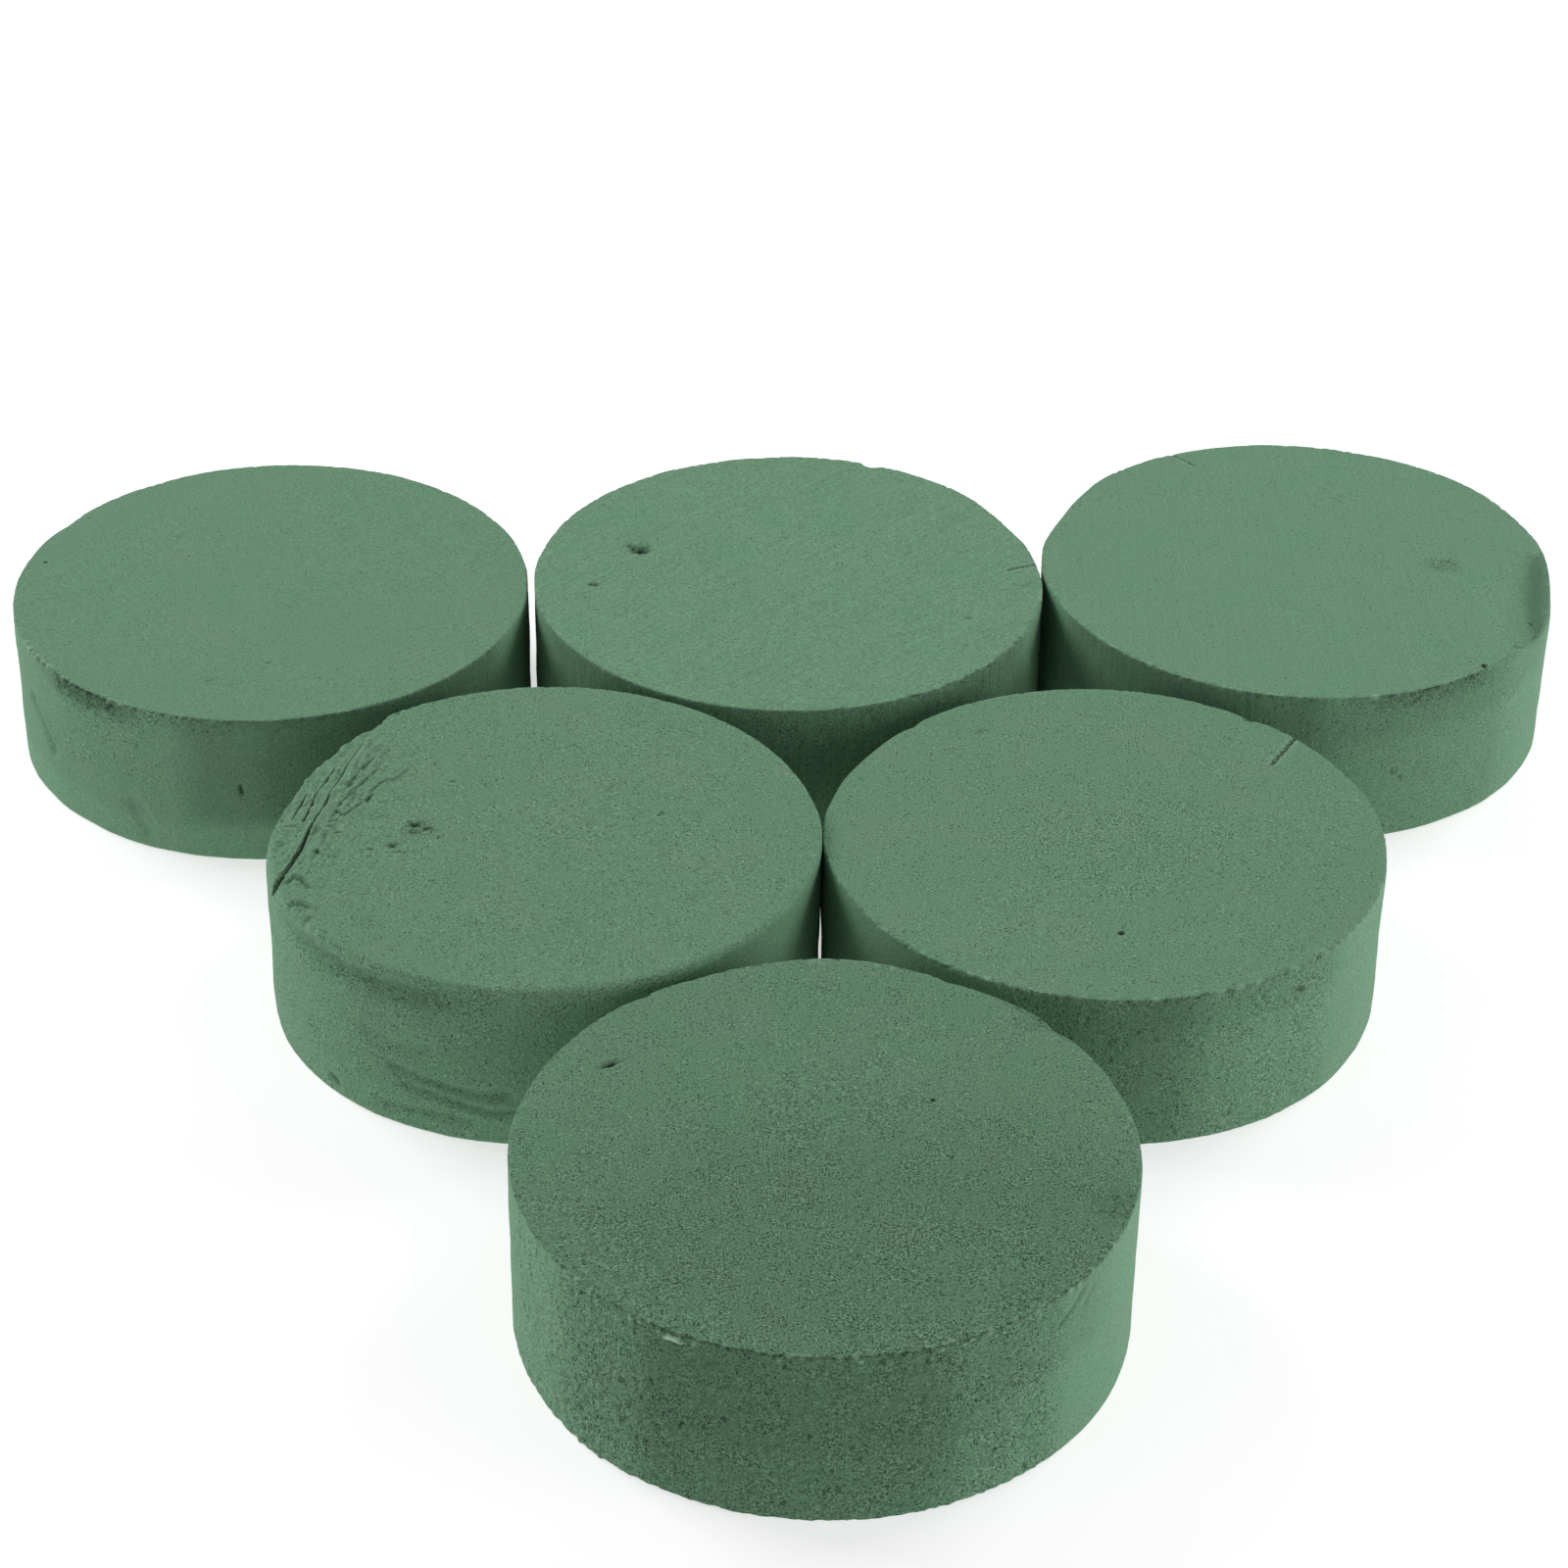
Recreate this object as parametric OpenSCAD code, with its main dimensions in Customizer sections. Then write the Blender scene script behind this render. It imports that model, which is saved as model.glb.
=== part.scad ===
// Set of round floral foam discs, laid out in a triangle on a table.
// Millimetres, +Z up. The origin is on the table, under the middle of the whole set.
// +X runs along the back row, and +Y points from the front disc to the back row.
// Each disc is one solid block of foam, so each is one node and lifts off by itself.

/* [Disc] */
// Radius of a disc before its own trim
disc_r = 60; // [55:0.5:60]
// Height of a disc before its own trim
disc_h = 38.5; // [30:0.5:60]
// Width of the worn bevel round the top and bottom edges
edge_bevel = 0.7; // [0.3:0.1:2]

/* [Layout] */
// Distance between neighbours in the same row
col_pitch = 121.5; // [121.5:0.5:160]
// Distance between one row and the next
row_pitch = 110; // [110:0.5:140]
// How far every disc is turned on the table, with its own marks, in degrees
lay_turn = -3.1; // [-180:0.1:180]

/* [Marks] */
// Width of a knife slit
slit_w = 0.5; // [0.3:0.1:1]
// Radius of a pin hole
pin_r = 0.6; // [0.4:0.1:1]
// Depth of a pin hole
pin_depth = 6; // [2:1:12]
// Distance from the middle left disc's axis to the crease that its crushed edge folds along
crease_at = 48; // [44:0.5:54]
// Angle that the crushed edge slopes down from the crease, in degrees
crush_slope = 18; // [5:1:25]

/* [Colour] */
// Colour of the foam
foam_colour = "#648769";

/* [Hidden] */
$fn = 96;
over = 1; // how far a cutter stands out of the face that it cuts

// The discs were laid by hand, so each is a little off the grid: [x, y] of its axis.
front_at = [-4.5, -row_pitch - 0.5];
middle_left_at = [-col_pitch/2 + 2.5, 1];
middle_right_at = [col_pitch/2 + 1.5, -2];
back_left_at = [-col_pitch - 0.5, row_pitch];
back_centre_at = [0, row_pitch - 1.5];
back_right_at = [col_pitch, row_pitch];

// They were cut by hand too: each has its own trim on the radius and the height.
front_r = disc_r + 0.3;
front_h = disc_h + 1;
middle_left_r = disc_r - 1;
middle_left_h = disc_h + 0.5;
middle_right_r = disc_r + 0.2;
middle_right_h = disc_h - 1.5;
back_left_r = disc_r + 0.3;
back_left_h = disc_h - 1;
back_centre_r = disc_r + 0.2;
back_centre_h = disc_h;
back_right_r = disc_r + 0.8;
back_right_h = disc_h + 0.2;

// A plain block of foam with worn edges.
module block(r, h) {
    b = edge_bevel;
    rotate_extrude()
        polygon([[0, 0], [r - b, 0], [r, b], [r, h - b], [r - b, h], [0, h]]);
}

// A disc in its place on the table, with its children cut out of it as its marks.
module foam_disc(at, r, h) {
    color(foam_colour)
        translate([at[0], at[1], 0])
            rotate(lay_turn)
                difference() {
                    block(r, h);
                    children();
                }
}

// A knife slit in the top face of a disc of height h, from one point to another.
module slit(h, from, to, depth, w = slit_w) {
    run = to - from;
    translate([from[0], from[1], h - depth])
        rotate(atan2(run[1], run[0]))
            translate([0, -w/2, 0])
                cube([norm(run), w, depth + over]);
}

// A hole in the top face, left by a wire or a thin stem.
module pin_hole(h, at, r = pin_r) {
    translate([at[0], at[1], h - pin_depth])
        cylinder(r = r, h = pin_depth + over);
}

// A round pit: a ball that reaches down to depth under the top face.
module pit(h, at, ball_r, depth) {
    translate([at[0], at[1], h - depth + ball_r])
        sphere(r = ball_r);
}

// A dent in the rim: the same ball, with its centre at radius out, towards angle.
module rim_dent(h, angle, out, ball_r, depth) {
    rotate(angle)
        pit(h, at = [out, 0], ball_r = ball_r, depth = depth);
}

// The space over an edge that was pushed down: it slopes down outwards from a straight crease.
module crush(r, h, angle) {
    rotate(angle)
        translate([crease_at, -r, h])
            rotate([0, crush_slope, 0])
                cube([r, 2*r, r]);
}

module front_disc() {
    h = front_h;
    foam_disc(front_at, front_r, h) {
        slit(h, from = [-43.5, 24.5], to = [-40.5, 26.3], depth = 2.5, w = 0.8);
        pin_hole(h, at = [21, 15], r = 0.4);
        rim_dent(h, angle = 127, out = 62, ball_r = 4, depth = 2);
        rim_dent(h, angle = 41, out = 63, ball_r = 6, depth = 2);
    }
}

module middle_left_disc() {
    h = middle_left_h;
    foam_disc(middle_left_at, middle_left_r, h) {
        crush(middle_left_r, h, angle = 165.7);
        pit(h, at = [25, 7], ball_r = 1.6, depth = 0.8);
        pit(h, at = [-31, -6.5], ball_r = 1.8, depth = 0.9);
        pit(h, at = [-27, 0], ball_r = 3, depth = 0.7);
    }
}

module middle_right_disc() {
    h = middle_right_h;
    foam_disc(middle_right_at, middle_right_r, h) {
        slit(h, from = [38.5, 29], to = [47.5, 45], depth = 8);
        pin_hole(h, at = [1, -36], r = 0.7);
        rim_dent(h, angle = 133.5, out = 62, ball_r = 5, depth = 2.5);
    }
}

module back_left_disc() {
    h = back_left_h;
    foam_disc(back_left_at, back_left_r, h) {
        pin_hole(h, at = [-55, 10]);
        rim_dent(h, angle = 151, out = 70, ball_r = 15, depth = 4);
    }
}

module back_centre_disc() {
    h = back_centre_h;
    foam_disc(back_centre_at, back_centre_r, h) {
        pit(h, at = [-35.5, 12.5], ball_r = 2.2, depth = 2);
        pit(h, at = [-46, -4.5], ball_r = 1.5, depth = 1);
        slit(h, from = [53.5, 5.5], to = [62, 8], depth = 4);
        rim_dent(h, angle = 70, out = 61, ball_r = 3.5, depth = 3);
    }
}

module back_right_disc() {
    h = back_right_h;
    foam_disc(back_right_at, back_right_r, h) {
        rim_dent(h, angle = -17.5, out = 73, ball_r = 25, depth = 8);
        pit(h, at = [35, 0], ball_r = 12, depth = 0.6);
        pin_hole(h, at = [38, -45.5]);
        slit(h, from = [-19.5, 49], to = [-28, 57.5], depth = 3);
    }
}

front_disc();
middle_left_disc();
middle_right_disc();
back_left_disc();
back_centre_disc();
back_right_disc();
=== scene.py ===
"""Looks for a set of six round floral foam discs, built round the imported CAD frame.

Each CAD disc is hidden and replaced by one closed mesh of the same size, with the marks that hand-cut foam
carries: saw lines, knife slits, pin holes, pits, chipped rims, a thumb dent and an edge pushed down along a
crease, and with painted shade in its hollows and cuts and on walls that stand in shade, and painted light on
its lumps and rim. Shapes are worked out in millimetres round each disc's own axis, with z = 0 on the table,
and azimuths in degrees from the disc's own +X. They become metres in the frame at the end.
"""

import itertools
import math

import bpy
import numpy as np
from mathutils import Matrix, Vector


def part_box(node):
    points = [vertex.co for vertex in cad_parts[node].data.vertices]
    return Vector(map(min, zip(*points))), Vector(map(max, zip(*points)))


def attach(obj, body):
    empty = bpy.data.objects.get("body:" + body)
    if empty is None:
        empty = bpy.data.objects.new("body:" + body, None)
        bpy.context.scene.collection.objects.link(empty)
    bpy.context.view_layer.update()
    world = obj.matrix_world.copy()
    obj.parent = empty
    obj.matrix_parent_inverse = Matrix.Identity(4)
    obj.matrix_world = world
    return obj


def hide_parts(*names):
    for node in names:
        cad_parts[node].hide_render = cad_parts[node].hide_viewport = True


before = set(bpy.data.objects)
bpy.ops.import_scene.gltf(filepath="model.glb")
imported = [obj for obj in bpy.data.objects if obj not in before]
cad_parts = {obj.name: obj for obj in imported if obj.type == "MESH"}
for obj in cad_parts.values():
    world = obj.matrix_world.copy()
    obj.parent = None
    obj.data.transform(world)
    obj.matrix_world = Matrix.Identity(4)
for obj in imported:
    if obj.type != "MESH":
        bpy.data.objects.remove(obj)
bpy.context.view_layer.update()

MM = 0.001
LAY_TURN = math.radians(-3.1)  # how far every disc is turned on the table, with its own marks

# The mesh of a disc. Its rim has four times as many points as the top's grid has cells across.
TOP_CELLS = 192
FOOT_CELLS = TOP_CELLS // 4
ARC_ROWS = 5
WALL_ROWS = 58
FOOT_ROWS = 3
FOOT_EDGE = 0.7  # radius of the bottom edge
FOOT_INSET = 0.97  # where the coarser grid of the underside starts, as a share of its radius
EVEN_INSET = 0.6  # how far inside the radius the top's grid would end if the rim had no shape of its own
RIM_PULL = 8  # how sharply the top's grid turns to follow the rim's shape as it nears the rim

# What the material reads at each point, from 0 to 1: coarse grain, vertical streaks, darkness, paleness, and
# the black inside of a cut. Darkness is partly the darker tone of torn foam and mostly painted shade;
# paleness is partly pale foam and partly painted light; the black inside a cut is painted shadow.
MARKS = ("grain", "streak", "dark", "pale", "cut")

# Where things lie on the square map that a disc's material can be baked on.
MAP_TOP, MAP_TOP_RADIUS = (0.30, 0.695), 0.29
MAP_FOOT, MAP_FOOT_RADIUS = (0.80, 0.80), 0.185
STRIP_LEFT, STRIP_WIDTH, STRIP_HEIGHT = 0.02, 0.96, 0.17
STRIP_LOWS = (0.20, 0.02)  # the low edges of the two strips that hold the wall

NOISE_PERIOD = 256  # a power of two: the noise repeats after that many cells
NOISE_GAIN = 1.6

# The photograph's view, in millimetres and degrees.
CAMERA_PLACE = (-47.5, -701.7, 505.6)
CAMERA_YAW, CAMERA_PITCH, CAMERA_ROLL = -3.324, 32.93, 0.729
LENS = 90.57  # on a sensor 36 mm wide

# Each softbox: its name, its place in metres, the length of its side in metres, and its power in watts.
SOFTBOXES = (
    ("behind_left", (-1.1, 0.7, 0.9), 0.8, 13.9),
    ("behind_right", (1.1, 0.7, 0.9), 0.8, 10.6),
    ("left", (-0.8, -0.45, 0.25), 0.5, 1.2),
    ("right", (0.8, -0.45, 0.25), 0.5, 3.0),
)
ROOM_LIGHT = 0.27
FLOOR_GREY = 0.6
FLOOR_GLOW = 0.60

# Colours of the foam, as linear red, green and blue.
FOAM_GREEN = (0.128, 0.262, 0.157)
FOAM_GREY = (0.140, 0.260, 0.164)
FOAM_PALE = (0.37, 0.56, 0.43)
# FOAM_DEEP is the colour of open pores and of painted shade; the black below is painted shadow inside cuts
# and holes.
FOAM_DEEP = (0.012, 0.034, 0.018)
CUT_SHADOW_BLACK = (0.004, 0.008, 0.005, 1)

# Sizes of the foam's patterns, as cells per metre.
CLOUDS = 70.0
PATCHES = 190.0
LINES = 1300.0
FLECKS = 1500.0
PORES = 1600.0
GRAIN = 2300.0


# ---------------------------------------------------------------- camera, light and floor


def make_camera():
    """The photograph's view: from in front and above, a little to the left, through a long lens."""
    place = np.array(CAMERA_PLACE) * MM
    yaw, pitch, roll = (math.radians(a) for a in (CAMERA_YAW, CAMERA_PITCH, CAMERA_ROLL))
    camera = bpy.data.objects.new("camera", bpy.data.cameras.new("camera"))
    camera.data.sensor_width = 36
    camera.data.lens = LENS
    camera.data.clip_start = 0.01
    turn = Matrix.Rotation(yaw, 4, "Z") @ Matrix.Rotation(math.pi / 2 - pitch, 4, "X")
    camera.matrix_world = Matrix.Translation(place) @ turn @ Matrix.Rotation(roll, 4, "Z")
    bpy.context.scene.collection.objects.link(camera)
    bpy.context.scene.camera = camera


def area_light(name, place, size, watts):
    """A square softbox at place, in metres, facing the middle of the set and unseen by the camera."""
    light = bpy.data.lights.new(name, "AREA")
    light.size = size
    light.energy = watts
    holder = bpy.data.objects.new(name, light)
    shift = Matrix.Translation(place)
    aim = shift.to_translation().to_track_quat("Z", "Y")
    holder.matrix_world = shift @ aim.to_matrix().to_4x4()
    holder.visible_camera = False
    bpy.context.scene.collection.objects.link(holder)


def make_light():
    """A dim white room, two big softboxes high behind the set, and a small one low on each side in front."""
    world = bpy.data.worlds.new("room")
    world.use_nodes = True
    background = world.node_tree.nodes["Background"]
    background.inputs["Color"].default_value = (1, 1, 1, 1)
    background.inputs["Strength"].default_value = ROOM_LIGHT
    bpy.context.scene.world = world
    for softbox in SOFTBOXES:
        area_light(*softbox)
    bpy.context.scene.view_settings.view_transform = "Standard"


def make_floor():
    """A plain white table that glows a little, as a lit product table does, much bigger than the view."""
    bpy.ops.mesh.primitive_plane_add(size=8, location=(0, 0, -0.05 * MM))
    floor = bpy.context.object
    floor.name = "floor"
    material = bpy.data.materials.new("white_table")
    material.use_nodes = True
    shader = material.node_tree.nodes["Principled BSDF"]
    shader.inputs["Base Color"].default_value = (FLOOR_GREY, FLOOR_GREY, FLOOR_GREY, 1)
    shader.inputs["Roughness"].default_value = 0.9
    shader.inputs["Emission Color"].default_value = (1, 1, 1, 1)
    shader.inputs["Emission Strength"].default_value = FLOOR_GLOW
    floor.data.materials.append(material)


# ---------------------------------------------------------------- numbers on arrays


def noise(points, seed):
    """Smooth noise at each point, with one lump or hollow per unit. It mostly stays between -0.7 and 0.7."""
    draw = np.random.default_rng(seed)
    order = draw.permutation(NOISE_PERIOD)
    slopes = draw.normal(size=(NOISE_PERIOD, 3))
    slopes /= np.linalg.norm(slopes, axis=1, keepdims=True)
    cell = np.floor(points).astype(int)
    inside = points - cell
    fade = inside**3 * (inside * (inside * 6 - 15) + 10)
    total = np.zeros(len(points))
    mask = NOISE_PERIOD - 1
    for corner in itertools.product((0, 1), repeat=3):
        key = (cell + corner) & mask
        pick = order[(order[(order[key[:, 0]] + key[:, 1]) & mask] + key[:, 2]) & mask]
        weight = np.where(corner, fade, 1 - fade).prod(axis=1)
        total += weight * (slopes[pick] * (inside - corner)).sum(axis=1)
    return NOISE_GAIN * total


def bell(x, half_width):
    """1 at x = 0, falling smoothly to almost nothing at twice the half width."""
    return np.exp(-((x / half_width) ** 2))


def ramp(x, low, high):
    """0 below low and 1 above high, with a smooth climb between them."""
    t = np.clip((x - low) / (high - low), 0, 1)
    return t * t * (3 - 2 * t)


def turn_between(azimuth, centre):
    """How far azimuth is from centre, in degrees, the short way round."""
    return (azimuth - centre + 180) % 360 - 180


def window(azimuth, start, end, soft=4.0):
    """1 between two azimuths, fading out over soft degrees beyond each."""
    away = np.abs(turn_between(azimuth, (start + end) / 2)) - (end - start) / 2
    return 1 - ramp(away, 0, soft)


# ---------------------------------------------------------------- the mesh of a plain disc


def square_to_disc(cells, crowding):
    """A square grid bent into a unit disc, and the order in which its rim is walked from azimuth -45.

    Crowding above 0 draws its columns towards the disc's -X side, and below 0 towards its +X side."""
    line = np.linspace(-1, 1, cells + 1)
    a, b = np.meshgrid(line - crowding * (1 - line**2), line, indexing="ij")
    steep = np.abs(b) > np.abs(a)
    reach = np.where(steep, b, a)
    other = np.where(steep, a, b)
    ratio = np.divide(other, reach, out=np.zeros_like(reach), where=reach != 0)
    angle = np.where(steep, math.pi / 2 - math.pi / 4 * ratio, math.pi / 4 * ratio)
    unit = np.stack([(reach * np.cos(angle)).ravel(), (reach * np.sin(angle)).ravel()], axis=1)
    index = np.arange((cells + 1) ** 2).reshape(cells + 1, cells + 1)
    walk = np.concatenate([index[-1, :-1], index[:0:-1, -1], index[0, :0:-1], index[:-1, 0]])
    return unit, index, walk


def quads(index):
    """The faces of a grid of point numbers, anticlockwise when its first axis is x and its second is y."""
    corners = index[:-1, :-1], index[1:, :-1], index[1:, 1:], index[:-1, 1:]
    return np.stack([c.ravel() for c in corners], axis=1)


class Disc:
    """The surface of one disc as arrays: where each point is, which way is out, and how it is marked."""

    def __init__(self, radius, height, seed, outline, edge, crowding):
        """outline and edge give the rim's offset and rounding in mm, for an array of azimuths in degrees."""
        self.radius, self.height, self.seed = radius, height, seed
        rim_points = 4 * TOP_CELLS
        top, self.top_index, walk = square_to_disc(TOP_CELLS, crowding)
        foot, self.foot_index, foot_walk = square_to_disc(FOOT_CELLS, crowding)
        self.rim_azimuth = np.degrees(np.arctan2(top[walk, 1], top[walk, 0]))

        azimuth = np.degrees(np.arctan2(top[:, 1], top[:, 0]))
        rho = np.hypot(top[:, 0], top[:, 1])
        plain = radius - EVEN_INSET
        reach = rho * plain + rho**RIM_PULL * (outline(azimuth) + radius - edge(azimuth) - plain)
        places = [polar(reach, azimuth, np.full(len(rho), height))]
        outs = [np.tile((0.0, 0.0, 1.0), (len(rho), 1))]

        rim, soft = radius + outline(self.rim_azimuth), edge(self.rim_azimuth)
        rows = [(step, "arc") for step in np.arange(1, ARC_ROWS + 1) / ARC_ROWS]
        rows += [(step, "wall") for step in np.arange(1, WALL_ROWS) / WALL_ROWS]
        rows += [(step, "foot") for step in np.arange(0, FOOT_ROWS + 1) / FOOT_ROWS]
        for step, part in rows:
            lean = {"arc": math.pi / 2 * (1 - step), "wall": 0, "foot": -math.pi / 2 * step}[part]
            if part == "arc":
                r = rim - soft * (1 - math.cos(lean))
                z = height - soft * (1 - math.sin(lean))
            elif part == "wall":
                r = rim
                z = (height - soft) + step * (FOOT_EDGE - height + soft)
            else:
                r = rim - FOOT_EDGE * (1 - math.cos(lean))
                z = np.full(rim_points, FOOT_EDGE * (1 + math.sin(lean)))
            places.append(polar(r, self.rim_azimuth, z))
            outs.append(polar(math.cos(lean) + 0 * r, self.rim_azimuth, math.sin(lean) + 0 * r))

        azimuth = np.degrees(np.arctan2(foot[:, 1], foot[:, 0]))
        rho = np.hypot(foot[:, 0], foot[:, 1])
        reach = rho * (radius - FOOT_EDGE) * FOOT_INSET + rho**RIM_PULL * outline(azimuth)
        places.append(polar(reach, azimuth, 0 * rho))
        outs.append(np.tile((0.0, 0.0, -1.0), (len(rho), 1)))

        self.at = np.concatenate(places)
        self.out = np.concatenate(outs)
        self.start = self.at.copy()  # the plain surface, which patterns are laid out on
        self.azimuth = np.degrees(np.arctan2(self.start[:, 1], self.start[:, 0]))
        self.around = np.radians(self.azimuth) * radius
        self.from_axis = np.hypot(self.start[:, 0], self.start[:, 1])
        self.upward = np.clip(self.out[:, 2], 0, 1)  # 1 on the top face, 0 on the wall
        self.sideways = np.hypot(self.out[:, 0], self.out[:, 1])
        self.marks = {name: np.zeros(len(self.at)) for name in MARKS}
        first = len(places[0])
        count = len(rows)
        below = first + np.arange(count * rim_points).reshape(count, rim_points)
        self.wall_index = np.concatenate([walk[None, :], below])
        self.foot_index = self.foot_index + first + count * rim_points
        self.foot_walk = foot_walk + first + count * rim_points

    def push(self, amount, weight=1.0):
        """Moves every point out along its own normal."""
        self.at += self.out * (amount * weight)[:, None]

    def sink(self, depth):
        """Lowers the top face, and the edge and wall below it less and less."""
        share = self.upward + (1 - self.upward) * ramp(self.start[:, 2], 0, self.height)
        self.at[:, 2] -= depth * share

    def mark(self, name, amount):
        """Adds to one of the marks, or takes away from it if amount is under 0."""
        self.marks[name] = np.clip(self.marks[name] + amount, 0, 1)

    def flat(self):
        """Plan places of the plain surface."""
        return self.start[:, 0], self.start[:, 1]

    def faces(self):
        """Faces as arrays of point numbers: the top, the wall, the underside, and the triangles that join
        the wall to the underside's coarser grid."""
        top = quads(self.top_index)
        ring = np.concatenate([self.wall_index, self.wall_index[:, :1]], axis=1)
        corners = ring[1:, :-1], ring[1:, 1:], ring[:-1, 1:], ring[:-1, :-1]
        wall = np.stack(corners, axis=-1).reshape(-1, 4)
        foot = quads(self.foot_index)[:, ::-1]
        stitch = []
        outer, inner = self.wall_index[-1], self.foot_walk
        ratio = len(outer) // len(inner)
        for k in range(len(inner)):
            near = [(ratio * k + s) % len(outer) for s in range(-(ratio // 2), ratio // 2 + 1)]
            stitch += [(outer[b], outer[a], inner[k]) for a, b in zip(near, near[1:])]
            stitch.append((inner[k], inner[(k + 1) % len(inner)], outer[near[-1]]))
        return top, wall, foot, np.array(stitch)


def polar(radius, azimuth, z):
    """Points from radius, azimuth in degrees, and height."""
    angle = np.radians(azimuth)
    return np.stack([radius * np.cos(angle), radius * np.sin(angle), z + 0 * angle], axis=1)


# ---------------------------------------------------------------- marks


def roughen(disc, size, depth, weight=1.0, layer=0):
    """Lumps of about that size all over, each pushed in or out by up to depth."""
    disc.push(depth * noise(disc.start / size, disc.seed + layer), weight)


def saw_lines(disc, angle, spacing, depth):
    """Fine parallel lines across the top face, left by the saw or wire that cut it."""
    x, y = disc.flat()
    turn = math.radians(angle)
    along = x * math.cos(turn) + y * math.sin(turn)
    across = y * math.cos(turn) - x * math.sin(turn)
    points = np.stack([across / spacing, along / (14 * spacing), 0 * x], axis=1)
    disc.push(depth * noise(points, disc.seed + 20), disc.upward)


def wall_streaks(disc, spacing, depth, start=-180, end=180, length=9.0):
    """Vertical lines down the wall, left by the blade that cut the disc out."""
    points = np.stack([disc.around / spacing, disc.start[:, 2] / length, 0 * disc.around], axis=1)
    weight = disc.sideways * window(disc.azimuth, start, end, 12)
    disc.push(depth * noise(points, disc.seed + 21), weight)
    disc.mark("streak", weight)


def pit(disc, at, size, depth, turn=0.0, dark=0.6):
    """A small hole with a soft, uneven lip in the top face, and painted shade in it: size is its half length
    and half width.
    """
    x, y = disc.flat()
    x, y = x - at[0], y - at[1]
    c, s = math.cos(math.radians(turn)), math.sin(math.radians(turn))
    ragged = 1 + 0.35 * noise(disc.start / 0.9, disc.seed + 30)
    far = np.hypot((x * c + y * s) / size[0], (y * c - x * s) / size[1]) * ragged
    shape = bell(far, 0.8) * disc.upward
    disc.push(-depth * shape)
    disc.mark("dark", dark * shape)


def pin_hole(disc, at, r):
    """A round hole left by a wire: the points inside it go down, and those round it make its mouth. Painted
    shadow blackens its inside and mouth.
    """
    x, y = disc.flat()
    dx, dy = x - at[0], y - at[1]
    far = np.where(disc.upward > 0.9, np.hypot(dx, dy), np.inf)
    core = far <= max(0.45 * r, far.min())
    lip = ~core & (far < r + 0.7)
    disc.at[core, :2] -= np.stack([dx, dy], axis=1)[core]
    disc.at[lip, 0] += (dx * (r / far - 1))[lip]
    disc.at[lip, 1] += (dy * (r / far - 1))[lip]
    disc.at[core, 2] -= 4 * r + 1
    disc.mark("cut", np.where(core, 1.0, 0.75 * lip))


def distance_to(path, x, y):
    """How far each point is from a line of straight runs, + to the right of it as one goes along it.

    Also how far along the line its nearest place is, the line's length, and the way to that place."""
    best = np.full(len(x), np.inf)
    along = np.zeros(len(x))
    side = np.ones(len(x))
    toward = np.zeros((len(x), 2))
    walked = 0.0
    for (ax, ay), (bx, by) in zip(path, path[1:]):
        length = math.hypot(bx - ax, by - ay)
        ux, uy = (bx - ax) / length, (by - ay) / length
        t = (x - ax) * ux + (y - ay) * uy
        held = np.clip(t, 0, length)
        way = np.stack([ax + held * ux - x, ay + held * uy - y], axis=1)
        gap = np.hypot(way[:, 0], way[:, 1])
        closer = gap < best
        best[closer] = gap[closer]
        along[closer] = (walked + held)[closer]
        side[closer] = np.where((x - ax) * uy - (y - ay) * ux > 0, 1, -1)[closer]
        toward[closer] = way[closer]
        walked += length
    return best * side, along, walked, toward


def between_ends(along, length, fade):
    """1 along a line, and 0 beyond its ends."""
    fade = min(fade, length / 3)
    return ramp(along, 0, fade) * (1 - ramp(along, length - fade, length))


def crack(disc, path, depth, dark=1.0, reach=0.31, fade=1.0, shadow=0.4):
    """A split in the top face: the points within reach of its line are drawn onto it and lowered.

    Its inside is painted black as shadow, and painted shade darkens its lips out to about shadow from it.
    dark says how black it is."""
    gap, along, length, toward = distance_to(path, *disc.flat())
    ends = between_ends(along, length, fade)
    on = (np.abs(gap) < reach) & (ends > 0) & (disc.upward > 0.1)
    disc.at[on, :2] += toward[on]
    disc.at[on, 2] -= (depth * ends)[on]
    disc.mark("cut", dark * ends * on)
    disc.mark("dark", 0.5 * dark * ends * bell(gap, shadow) * disc.upward)


def groove(disc, path, half_width, depth, dark=0.0):
    """A soft furrow in the top face along a line, which dies away at both ends, with painted shade in it."""
    gap, along, length, _ = distance_to(path, *disc.flat())
    shape = bell(gap, half_width) * between_ends(along, length, 2.5) * disc.upward
    disc.push(-depth * shape)
    disc.mark("dark", dark * shape)


def fold(disc, path, height, half_width, dark=0.0):
    """A wrinkle in the top face along a line: a ridge to the line's left, and a furrow to its right, with
    painted shade in the furrow.
    """
    gap, along, length, _ = distance_to(path, *disc.flat())
    ends = between_ends(along, length, 2.0) * disc.upward
    disc.push(-2.3 * height * gap / half_width * bell(gap, half_width) * ends)
    disc.mark("dark", dark * bell(gap - 0.6 * half_width, 0.5 * half_width) * ends)


def wall_groove(disc, path, half_width, depth, dark=0.0, fade=3.0):
    """A furrow in the wall along a line of (azimuth, height) places, with painted shade in it. A depth under
    0 makes a ridge.
    """
    places = [(math.radians(azimuth) * disc.radius, z) for azimuth, z in path]
    gap, along, length, _ = distance_to(places, disc.around, disc.start[:, 2])
    shape = bell(gap, half_width) * between_ends(along, length, fade) * disc.sideways
    disc.push(-depth * shape)
    disc.mark("dark", dark * shape)


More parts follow.
